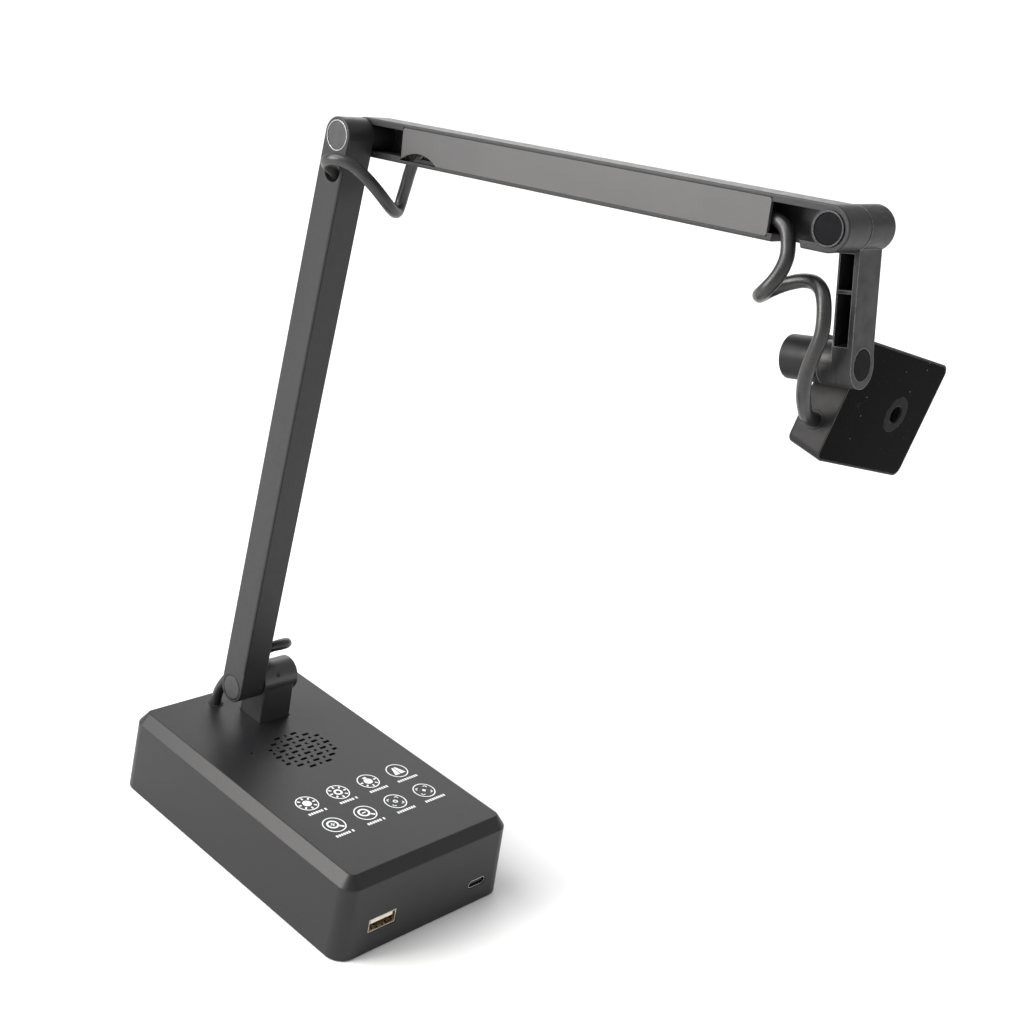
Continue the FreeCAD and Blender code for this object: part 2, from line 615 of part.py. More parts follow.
def make_link():
    x0, x1 = LINK_X
    front, back = LINK_Y
    body = box(x0, x1, front, back, -LINK_LEN, 0)
    half = (x1 - x0) / 2
    lower = cyl(LINK_BARREL_R, (PIVOT_X, front, -LINK_LEN), (0, 1, 0), PIVOT_SPLIT - front)
    end = cyl(LINK_BARREL_R, (PIVOT_X, front, -LINK_LEN - LINK_END_DROP), (0, 1, 0), PIVOT_SPLIT - front)
    s = body.fuse(lower).fuse(end)
    s = s.cut(box(x0 - 1, x1 - 1.5, -1.6, 2.8, -32.5, -UPPER_R - 0.4))
    s = s.fuse(box(x0 + 0.4, x1 - 1.0, -1.7, 2.9, -17.9, -16.9))
    s = s.fuse(cyl(UPPER_R, (LINK_X0, 0, 0), (1, 0, 0), BARREL_LEN))
    rim = [e for e in s.Edges if e.Curve.TypeId == "Part::GeomCircle" and e.BoundBox.YLength > 12
           and e.BoundBox.XLength < TINY]
    s = s.makeFillet(0.5, rim)
    cut = hinge_cuts_second(0, BARREL_LEN - 6.5, BARREL_LEN + 0.01)
    cut.translate(Vector(LINK_X0, 0, 0))
    s = s.cut(cut)
    s = turned(s, -LINK_LEAN, WRIST)
    s = s.cut(on_pivot(hinge_cuts_first(4.6)))
    save("wrist_link", s)
    save("wrist_plug", on_x_hinge(hinge_plug(LINK_X0 + BARREL_LEN), 0, WRIST))
    floor = PIVOT_BACK - LINK_Y[0] - 6.0
    save("pivot_cap", on_pivot(domed_cap(4.6)))
    save("pivot_shaft", on_pivot(hinge_shaft(floor)))
    save("pivot_nut", *[on_pivot(s) for s in hinge_hardware(PIVOT_SPLIT - LINK_Y[0], floor)])


# ---------------------------------------------------------------- head

HEAD_ROT = Rotation(PIVOT_AXIS, HEAD_ROLL).multiply(Rotation(Vector(1, 0, 0), HEAD_CANT - LINK_LEAN))
HEAD_AT = PIVOT + PIVOT_AXIS * PANEL_BACK


def on_head(shape):
    """Head frame: X right, Y back from the front panel, Z up, origin on the pivot axis at the panel."""
    s = shape.copy()
    s.Placement = Placement(HEAD_AT, HEAD_ROT).multiply(s.Placement)
    return s


def head_outline(inset, d):
    """Outline of the head at a depth; the sides lean in towards the lens side."""
    i = inset + HEAD_DRAFT * d / HEAD_D
    w = rounded_wire(HEAD_U[0] + i, HEAD_U[1] - i, HEAD_V[0] + i, HEAD_V[1] - i,
                     [max(r - inset, 0.6) for r in (2.4, 3.2, 3.2, 2.0)], 0)
    w.rotate(Vector(0, 0, 0), Vector(1, 0, 0), 90)
    w.translate(Vector(0, d, 0))
    return w


def head_shell():
    """Moulded shell with the pivot knuckle behind it, and holes for the lens, lights, pin and cable."""
    outer = loft([head_outline(0, 0), head_outline(0, HEAD_D)])
    rear = [e for e in outer.Edges
            if abs(e.BoundBox.YMin - HEAD_D) < TINY and abs(e.BoundBox.YMax - HEAD_D) < TINY]
    outer = outer.makeFillet(1.2, rear)
    inner = loft([head_outline(HEAD_WALL, -0.01), head_outline(HEAD_WALL, HEAD_D - HEAD_WALL)])
    seat = loft([head_outline(0.55, -0.01), head_outline(0.55, 1.3)])
    hollow = outer.cut(inner).cut(seat)
    web = box(2.0, HEAD_U[0] + 1.6, 6.9, HEAD_D - 1.0, -5.0, 5.0)
    shell = on_head(hollow.fuse(web))
    start = PIVOT_SPLIT + ARM_GAP
    knuckle = Part.makeCylinder(PIVOT_R, PIVOT_BACK - start, PIVOT + PIVOT_AXIS * start, PIVOT_AXIS)
    rim = [e for e in knuckle.Edges if e.Curve.TypeId == "Part::GeomCircle"]
    knuckle = knuckle.makeFillet(0.5, rim)
    clear = Part.makeCylinder(PIVOT_R + 1, 30, PIVOT + PIVOT_AXIS * (start - 30), PIVOT_AXIS)
    shell = shell.cut(clear).fuse(knuckle)
    joint = PIVOT_SPLIT - LINK_Y[0]
    end = PIVOT_BACK - LINK_Y[0]
    shell = shell.cut(on_pivot(hinge_cuts_second(joint, end - 6.0, end + 0.01)))
    lu, lv = LENS_UV
    d_in = HEAD_D - HEAD_WALL
    holes = cyl(BEZEL_R, (lu, d_in - 1, lv), (0, 1, 0), 6)
    for side in (-1, 1):
        holes = holes.fuse(cyl(LED_R, (lu - LED_IN, d_in - 1, lv + LED_APART * side), (0, 1, 0), 6))
    holes = holes.fuse(cyl(0.6, (HEAD_U[0] + PIN_IN, d_in - 1, lv), (0, 1, 0), 6))
    cable_d, cable_v = HEAD_CABLE_UV
    holes = holes.fuse(cyl(HEAD_HOLE_R, (HEAD_U[0] - 3, cable_d, cable_v), (1, 0, 0), 6))
    return shell.cut(on_head(holes))


def make_head_front():
    """Gloss lid on the front, with a threaded insert that a stand or clamp screws into."""
    lu, lv = LENS_UV
    panel = loft([head_outline(0.6, 0.08), head_outline(0.6, 1.3)])
    insert_hole = cyl(5.6, (lu, -1, lv), (0, 1, 0), 4)
    pin_hole = cyl(0.5, (HEAD_U[0] + PIN_IN, -1, lv), (0, 1, 0), 4)
    save("head_panel", on_head(panel.cut(insert_hole).cut(pin_hole)))
    insert = cyl(5.6, (lu, 0.0, lv), (0, 1, 0), 1.3).fuse(cyl(4.6, (lu, 1.3, lv), (0, 1, 0), 4.2))
    save("tripod_insert", on_head(insert.cut(cyl(TRIPOD_R, (lu, -1, lv), (0, 1, 0), 5.8))))


def make_camera_module():
    """Board with sensor and connector, the lens in its barrel, and the ring round it on the back wall."""
    lu, lv = LENS_UV
    board = box(lu - 13, lu + 13, 6.2, 7.2, lv - 13, lv + 13)
    sensor = box(lu - 2.8, lu + 2.8, 7.2, 7.9, lv - 2.2, lv + 2.2)
    connector = box(lu - 16.3, lu - 10.6, 3.2, 6.2, lv - 9.2, lv - 4.0)
    save("camera_board", on_head(board), on_head(sensor), on_head(connector))
    holder = cyl(7.0, (lu, 7.9, lv), (0, 1, 0), 3.0).fuse(cyl(5.4, (lu, 10.9, lv), (0, 1, 0), 1.8))
    holder = holder.fuse(tube_ring(7.0, 4.0, (lu, 7.2, lv), (0, 1, 0), 0.7))
    save("lens_barrel", on_head(holder.cut(cyl(LENS_R, (lu, 8.3, lv), (0, 1, 0), 6))))
    ball_r = 9.0
    ball = Part.makeSphere(ball_r, Vector(lu, 12.6 - ball_r, lv))
    save("lens_glass", on_head(ball.common(cyl(LENS_R, (lu, 11.0, lv), (0, 1, 0), 3))))
    bezel = tube_ring(BEZEL_R, 5.5, (lu, HEAD_D - HEAD_WALL, lv), (0, 1, 0), HEAD_WALL + 1.2)
    bezel = bezel.makeFillet(0.4, [e for e in bezel.Edges if abs(e.BoundBox.YMin - HEAD_D - 1.2) < TINY])
    save("lens_bezel", on_head(bezel))
    screws = [cyl(1.5, (lu + 11 * i, 5.0, lv + 11 * j), (0, 1, 0), 1.2) for i in (-1, 1) for j in (-1, 1)]
    save("board_screws", *[on_head(s) for s in screws])


def make_head_lights():
    """Two round windows beside the lens, with a lamp board behind them."""
    lu, lv = LENS_UV
    d_in = HEAD_D - HEAD_WALL
    u = lu - LED_IN
    windows = []
    lamps = []
    for side in (-1, 1):
        v = lv + LED_APART * side
        windows.append(on_head(cyl(LED_R, (u, d_in, v), (0, 1, 0), HEAD_WALL - 0.1)))
        lamps.append(on_head(box(u - 1.4, u + 1.4, d_in - 1.6, d_in - 0.9, v - 1.4, v + 1.4)))
    save("led_windows", *windows)
    save("led_board", on_head(box(lu - 22, lu - 14.0, d_in - 2.6, d_in - 1.6, lv - 12, lv + 12)), *lamps)


def make_head():
    save("head_shell", head_shell())
    make_head_front()
    make_camera_module()
    make_head_lights()
    cable_d, cable_v = HEAD_CABLE_UV
    bush = on_head(cyl(HEAD_HOLE_R, (HEAD_U[0] + 0.5, cable_d, cable_v), (1, 0, 0), 1.9))
    save("head_grommet", bush.cut(tube(HEAD_LOOP)).cut(tube(HEAD_TAIL)))
    save("pivot_plug", on_pivot(hinge_plug(PIVOT_BACK - LINK_Y[0])))


# ---------------------------------------------------------------- cable


# One lead runs from the main board to the head. The arms hold it inside; it makes a loop at each joint.
BASE_TAIL = [
    (-20.0, -6.0, 11.3), (-20.0, 5.0, 11.3), (-19.2, 19.0, 11.6), (-17.2, 33.0, 12.2),
    (-13.6, 45.0, 14.0), (-10.4, 52.6, 18.6), (-9.4, 55.6, 24.8), (-9.4, 56.2, 30.4),
    (-9.4, 56.2, 35.3)
]
BASE_LOOP = [
    (-9.4, 56.2, 35.3), (-9.4, 56.2, 38.9), (-8.6, 54.4, 44.4), (-6.0, 51.9, 50.4), (-2.0, 49.4, 56.0),
    (2.8, 46.4, 60.4), (6.7, 42.9, 63.8), (7.9, 38.6, 66.8), (5.5, 34.9, 69.0), (1.4, 34.8, 69.0),
    (-2.2, 38.0, 67.3), (-6.4, 40.3, 67.8), (-9.0, 39.9, 72.0), (-9.2, 39.5, 77.0)
]
LOWER_RUN = [
    (-9.2, 39.5, 77.0), (-9.4, 39.1, 82.0), (-9.9, 37.5, 92.0), (-9.2, 36.1, 112.0),
    (-9.6, 33.2, 146.0), (-8.8, 30.6, 180.0), (-9.2, 27.4, 212.0), (-9.5, 25.9, 233.0),
    (-9.0, 24.9, 246.0), (-8.6, 24.4, 254.0), (-10.6, 24.0, 259.9), (-15.3, 23.4, 262.6)
]
ELBOW_LOOP = [
    (-15.3, 23.4, 262.6), (-18.8, 22.95, 264.6), (-21.0, 19.8, 266.6), (-20.7, 15.2, 268.0),
    (-18.2, 10.6, 267.3), (-14.8, 6.8, 264.1), (-10.6, 4.0, 259.8), (-6.2, 3.0, 255.5),
    (-2.3, 3.9, 252.9), (0.9, 5.4, 252.1), (3.0, 6.8, 254.3), (3.4, 6.5, 258.2), (2.8, 5.1, 262.1),
    (2.2, 4.0, 265.5), (2.2, 3.2, 268.7)
]
UPPER_RUN = [
    (2.2, 3.2, 268.7), (2.2, 2.3, 272.3), (2.2, -1.0, 275.8), (2.2, -6.0, 277.3), (2.5, -15.0, 277.6),
    (2.2, -32.0, 280.2), (2.6, -62.0, 282.2), (2.0, -92.0, 285.6), (2.4, -118.0, 287.4),
    (2.0, -132.0, 288.8), (1.2, -140.6, 289.9), (0.4, -146.2, 289.6), (-0.4, -149.8, 287.6),
    (-1.1, -151.2, 284.6)
]
WRIST_LOOP = [
    (-1.1, -151.2, 284.6), (-1.66, -152.32, 282.2), (-3.3, -153.0, 278.8), (-5.1, -152.7, 275.2),
    (-6.2, -150.8, 271.4), (-3.8, -147.8, 268.9), (0.4, -145.8, 268.2), (4.0, -146.0, 269.6),
    (6.0, -149.0, 272.2), (6.6, -154.0, 274.8), (5.6, -159.2, 275.6), (3.9, -163.6, 273.0),
    (2.9, -165.4, 268.4)
]
HEAD_LOOP = [
    (2.9, -165.4, 268.4), (1.9, -167.2, 263.8), (1.6, -166.2, 257.6), (2.5, -164.8, 251.2),
    (5.2, -163.9, 245.2), (9.2, -163.0, 240.4), (13.9, -162.2, 235.95), (17.9, -162.4, 235.05)
]
HEAD_TAIL = [
    (17.9, -162.4, 235.05), (21.9, -162.6, 234.15), (25.7, -163.2, 233.75), (29.8, -163.9, 233.8),
    (33.3, -164.1, 233.1)
]
CABLES = {"base_cable_tail": BASE_TAIL, "base_cable_loop": BASE_LOOP, "lower_arm_cable": LOWER_RUN,
          "elbow_cable_loop": ELBOW_LOOP, "upper_arm_cable": UPPER_RUN, "wrist_cable_loop": WRIST_LOOP,
          "head_cable_loop": HEAD_LOOP, "head_cable_tail": HEAD_TAIL}


def make_cables():
    for name, points in CABLES.items():
        save(name, tube(points, name))


def main():
    make_base()
    make_post()
    make_lower_arm()
    make_upper_arm()
    make_link()
    make_head()
    make_cables()
    for name, count, volume in NODES:
        print(f"{name:22s} {count:2d} {volume / 1000:8.3f} cm3")
    print("elbow", ELBOW, "wrist", WRIST)
    print("pivot", PIVOT, "axis", PIVOT_AXIS)
    thread_middle = HEAD_AT + HEAD_ROT.multVec(Vector(LENS_UV[0], 2.4, LENS_UV[1]))
    print("tripod thread", thread_middle, "out", -HEAD_ROT.multVec(Vector(0, 1, 0)))


main()
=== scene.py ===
"""Looks of the folding document camera: cable, surface finishes, key prints, threads and small details.

Metres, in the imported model's frame: the base's front wall faces -Y, +X is right and +Z is up.
"""
import json
import math

import bmesh
import bpy
from mathutils import Matrix, Vector


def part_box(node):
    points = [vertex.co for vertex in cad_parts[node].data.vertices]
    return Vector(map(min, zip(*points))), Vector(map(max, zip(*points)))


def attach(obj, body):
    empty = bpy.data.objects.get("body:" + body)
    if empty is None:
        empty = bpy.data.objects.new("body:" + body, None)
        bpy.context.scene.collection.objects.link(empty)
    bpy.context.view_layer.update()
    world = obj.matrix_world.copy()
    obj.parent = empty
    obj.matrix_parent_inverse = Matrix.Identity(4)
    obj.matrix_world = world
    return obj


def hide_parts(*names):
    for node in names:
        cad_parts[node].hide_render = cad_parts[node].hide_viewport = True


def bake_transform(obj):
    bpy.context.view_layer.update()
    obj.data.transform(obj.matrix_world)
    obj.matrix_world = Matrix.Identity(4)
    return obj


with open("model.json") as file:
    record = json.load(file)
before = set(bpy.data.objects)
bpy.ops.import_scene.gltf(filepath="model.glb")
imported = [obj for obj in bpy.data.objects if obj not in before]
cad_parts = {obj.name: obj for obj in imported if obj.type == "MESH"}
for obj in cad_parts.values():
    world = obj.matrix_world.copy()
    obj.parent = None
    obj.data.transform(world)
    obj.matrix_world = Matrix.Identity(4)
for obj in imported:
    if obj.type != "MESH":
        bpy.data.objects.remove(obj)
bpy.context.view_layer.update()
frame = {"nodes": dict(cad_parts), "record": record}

# ---------------------------------------------------------------- camera, light, floor

CAMERA_AT = Vector((-0.3620, -0.3749, 0.3543))
CAMERA_RIGHT = Vector((0.6833, -0.7075, 0.1805)).normalized()
CAMERA_AHEAD = Vector((0.7151, 0.5984, -0.3614)).normalized()
CAMERA_LENS = 53.47
AIM = Vector((0.0, -0.03, 0.15))
FLOOR_RADII = (1.5, 3.0, 4.0, 5.0, 6.0, 7.0, 8.0, 9.0, 10.0)
FLOOR_FLAT = 3.0      # flat as far as this, then rising by FLOOR_RISE times the square of the rest
FLOOR_RISE = 0.038


def add_camera():
    up = CAMERA_RIGHT.cross(CAMERA_AHEAD)
    data = bpy.data.cameras.new("studio_camera")
    data.lens = CAMERA_LENS
    data.sensor_width = 36.0
    data.clip_start = 0.01
    data.clip_end = 200.0
    camera = bpy.data.objects.new("studio_camera", data)
    camera.matrix_world = (Matrix.Translation(CAMERA_AT)
                           @ Matrix((CAMERA_RIGHT, up, -CAMERA_AHEAD)).transposed().to_4x4())
    bpy.context.collection.objects.link(camera)
    bpy.context.scene.camera = camera


def add_softbox(name, at, size, power, colour=(1.0, 1.0, 1.0), aim=AIM):
    data = bpy.data.lights.new(name, "AREA")
    data.shape = "RECTANGLE"
    data.size, data.size_y = size
    data.energy = power
    data.color = colour
    lamp = bpy.data.objects.new(name, data)
    lamp.location = at
    lamp.rotation_euler = (Vector(at) - aim).to_track_quat("Z", "Y").to_euler()
    bpy.context.collection.objects.link(lamp)


def add_floor():
    """A wide pale floor that sweeps gently up all round, so that no horizon shows."""
    sides = 96
    shape = bmesh.new()
    loops = [[shape.verts.new((0.0, 0.0, 0.0))]]
    for r in FLOOR_RADII:
        z = FLOOR_RISE * max(0.0, r - FLOOR_FLAT) ** 2
        loop = []
        for k in range(sides):
            turn = 2 * math.pi * k / sides
            loop.append(shape.verts.new((r * math.cos(turn), r * math.sin(turn), z)))
        loops.append(loop)
    for k in range(sides):
        shape.faces.new((loops[0][0], loops[1][k], loops[1][(k + 1) % sides]))
    for low, high in zip(loops[1:], loops[2:]):
        for k in range(sides):
            shape.faces.new((low[k], high[k], high[(k + 1) % sides], low[(k + 1) % sides]))
    for face in shape.faces:
        face.smooth = True
    mesh = bpy.data.meshes.new("studio_floor")
    shape.to_mesh(mesh)
    shape.free()
    floor = bpy.data.objects.new("studio_floor", mesh)
    bpy.context.collection.objects.link(floor)
    paper = bpy.data.materials.new("studio_paper")
    paper.use_nodes = True
    shader = paper.node_tree.nodes["Principled BSDF"]
    shader.inputs["Base Color"].default_value = (0.93, 0.93, 0.93, 1.0)
    shader.inputs["Roughness"].default_value = 1.0
    shader.inputs["Specular IOR Level"].default_value = 0.0
    mesh.materials.append(paper)


def add_studio():
    world = bpy.data.worlds.new("studio_world")
    world.use_nodes = True
    sky = world.node_tree.nodes["Background"]
    sky.inputs["Color"].default_value = (1.0, 1.0, 1.0, 1.0)
    sky.inputs["Strength"].default_value = 0.55
    bpy.context.scene.world = world
    bpy.context.scene.view_settings.view_transform = "Standard"
    sun = bpy.data.lights.new("overhead_light", "SUN")
    sun.energy = 2.6
    sun.angle = math.radians(50)
    lamp = bpy.data.objects.new("overhead_light", sun)
    lamp.rotation_euler = Vector((-0.50, 0.42, 0.76)).to_track_quat("Z", "Y").to_euler()
    bpy.context.collection.objects.link(lamp)
    add_softbox("left_softbox", (-0.78, 0.42, 0.50), (0.5, 0.5), 9.0, (1.0, 0.97, 0.93))
    add_softbox("rear_softbox", (1.1, 1.0, 0.85), (0.9, 0.7), 4.5)
    add_floor()


add_camera()
add_studio()

# ---------------------------------------------------------------- cable

CABLE_D = 0.0042
BASE_LOOP = [
    (-0.0094, 0.0562, 0.0353), (-0.0094, 0.0562, 0.0389), (-0.0086, 0.0544, 0.0444),
    (-0.0060, 0.0519, 0.0504), (-0.0020, 0.0494, 0.0560), (0.0028, 0.0464, 0.0604),
    (0.0067, 0.0429, 0.0638), (0.0079, 0.0386, 0.0668), (0.0055, 0.0349, 0.0690),
    (0.0014, 0.0348, 0.0690), (-0.0022, 0.0380, 0.0673), (-0.0064, 0.0403, 0.0678),
    (-0.0090, 0.0399, 0.0720), (-0.0092, 0.0395, 0.0770)]
LOWER_RUN = [
    (-0.0092, 0.0395, 0.0770), (-0.0094, 0.0391, 0.0820), (-0.0099, 0.0375, 0.0920),
    (-0.0092, 0.0361, 0.1120), (-0.0096, 0.0332, 0.1460), (-0.0088, 0.0306, 0.1800),
    (-0.0092, 0.0274, 0.2120), (-0.0095, 0.0259, 0.2330), (-0.0090, 0.0249, 0.2460),
    (-0.0086, 0.0244, 0.2540), (-0.0106, 0.0240, 0.2599), (-0.0153, 0.0234, 0.2626)]
ELBOW_LOOP = [
    (-0.0153, 0.0234, 0.2626), (-0.0188, 0.02295, 0.2646), (-0.0210, 0.0198, 0.2666),
    (-0.0207, 0.0152, 0.2680), (-0.0182, 0.0106, 0.2673), (-0.0148, 0.0068, 0.2641),
    (-0.0106, 0.0040, 0.2598), (-0.0062, 0.0030, 0.2555), (-0.0023, 0.0039, 0.2529),
    (0.0009, 0.0054, 0.2521), (0.0030, 0.0068, 0.2543), (0.0034, 0.0065, 0.2582),
    (0.0028, 0.0051, 0.2621), (0.0022, 0.0040, 0.2655), (0.0022, 0.0032, 0.2687)]
UPPER_RUN = [
    (0.0022, 0.0032, 0.2687), (0.0022, 0.0023, 0.2723), (0.0022, -0.0010, 0.2758),
    (0.0022, -0.0060, 0.2773), (0.0025, -0.0150, 0.2776), (0.0022, -0.0320, 0.2802),
    (0.0026, -0.0620, 0.2822), (0.0020, -0.0920, 0.2856), (0.0024, -0.1180, 0.2874),
    (0.0020, -0.1320, 0.2888), (0.0012, -0.1406, 0.2899), (0.0004, -0.1462, 0.2896),
    (-0.0004, -0.1498, 0.2876), (-0.0011, -0.1512, 0.2846)]
WRIST_LOOP = [
    (-0.0011, -0.1512, 0.2846), (-0.00166, -0.15232, 0.2822), (-0.0033, -0.1530, 0.2788),
    (-0.0051, -0.1527, 0.2752), (-0.0062, -0.1508, 0.2714), (-0.0038, -0.1478, 0.2689),
    (0.0004, -0.1458, 0.2682), (0.0040, -0.1460, 0.2696), (0.0060, -0.1490, 0.2722),
    (0.0066, -0.1540, 0.2748), (0.0056, -0.1592, 0.2756), (0.0039, -0.1636, 0.2730),
    (0.0029, -0.1654, 0.2684)]
HEAD_LOOP = [
    (0.0029, -0.1654, 0.2684), (0.0019, -0.1672, 0.2638), (0.0016, -0.1662, 0.2576),
    (0.0025, -0.1648, 0.2512), (0.0052, -0.1639, 0.2452), (0.0092, -0.1630, 0.2404),
    (0.0139, -0.1622, 0.23595), (0.0179, -0.1624, 0.23505)]


def spline_points(name, route):
    """Points along the smooth NURBS curve that a route's points steer, read back from its mesh."""
    data = bpy.data.curves.new(name, "CURVE")
    data.dimensions = "3D"
    data.resolution_u = 12
    spline = data.splines.new("NURBS")
    spline.points.add(len(route) - 1)
    for point, place in zip(spline.points, route):
        point.co = (*place, 1.0)
    spline.order_u = 3
    spline.use_endpoint_u = True
    holder = bpy.data.objects.new(name, data)
    line = bpy.data.meshes.new_from_object(holder)
    points = [vertex.co.copy() for vertex in line.vertices]
    bpy.data.objects.remove(holder)
    bpy.data.meshes.remove(line)
    return points


def cable_tube(name, route, sides=28):
    """A closed round tube along the spline, its rings carried along without twist."""
    points = spline_points(name + "_line", route)
    mesh = bmesh.new()
    rings = []
    side = None
    for i, point in enumerate(points):
        ahead = (points[min(i + 1, len(points) - 1)] - points[max(i - 1, 0)]).normalized()
        if side is None:
            side = ahead.orthogonal()
        side = (side - ahead * side.dot(ahead)).normalized()
        across = ahead.cross(side)
        ring = []
        for k in range(sides):
            turn = 2 * math.pi * k / sides
            radial = side * math.cos(turn) + across * math.sin(turn)
            ring.append(mesh.verts.new(point + radial * CABLE_D / 2))
        rings.append(ring)
    for low, high in zip(rings, rings[1:]):
        for k in range(sides):
            mesh.faces.new((low[k], low[(k + 1) % sides], high[(k + 1) % sides], high[k]))
    for cap in (list(reversed(rings[0])), rings[-1]):
        for edge in mesh.faces.new(cap).edges:
            edge.smooth = False
    cable = object_from(name, mesh, smooth=True)
    cable["path_length"] = sum((b - a).length for a, b in zip(points, points[1:]))
    return cable, points


def object_from(name, mesh, smooth=False):
    data = bpy.data.meshes.new(name)
    bmesh.ops.recalc_face_normals(mesh, faces=mesh.faces)
    for face in mesh.faces:
        face.smooth = smooth and len(face.verts) < 5
    mesh.to_mesh(data)
    mesh.free()
    piece = bpy.data.objects.new(name, data)
    bpy.context.collection.objects.link(piece)
    return piece


def add_cord(name, node, route, bodies):
    cable, points = cable_tube(name, route)
    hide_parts(node)
    if len(bodies) == 2:
        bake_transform(cable)
    else:
        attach(cable, bodies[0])
    return cable


def add_cables():
    """The four loops that bridge the joints, and the two runs inside the arms."""
    base_loop = add_cord("cable_loop_base", "base_cable_loop", BASE_LOOP,
                         ("base", "lower_arm_body"))
    elbow_loop = add_cord("cable_loop_elbow", "elbow_cable_loop", ELBOW_LOOP,
                          ("lower_arm_body", "upper_arm_body"))
    wrist_loop = add_cord("cable_loop_wrist", "wrist_cable_loop", WRIST_LOOP,
                          ("upper_arm_body", "wrist_link_body"))
    head_loop = add_cord("cable_loop_head", "head_cable_loop", HEAD_LOOP,
                         ("wrist_link_body", "head"))
    lower_run = add_cord("cable_run_lower", "lower_arm_cable", LOWER_RUN, ("lower_arm_body",))
    upper_run = add_cord("cable_run_upper", "upper_arm_cable", UPPER_RUN, ("upper_arm_body",))
    return [base_loop, elbow_loop, wrist_loop, head_loop, lower_run, upper_run]


CABLES = add_cables()

# ---------------------------------------------------------------- materials


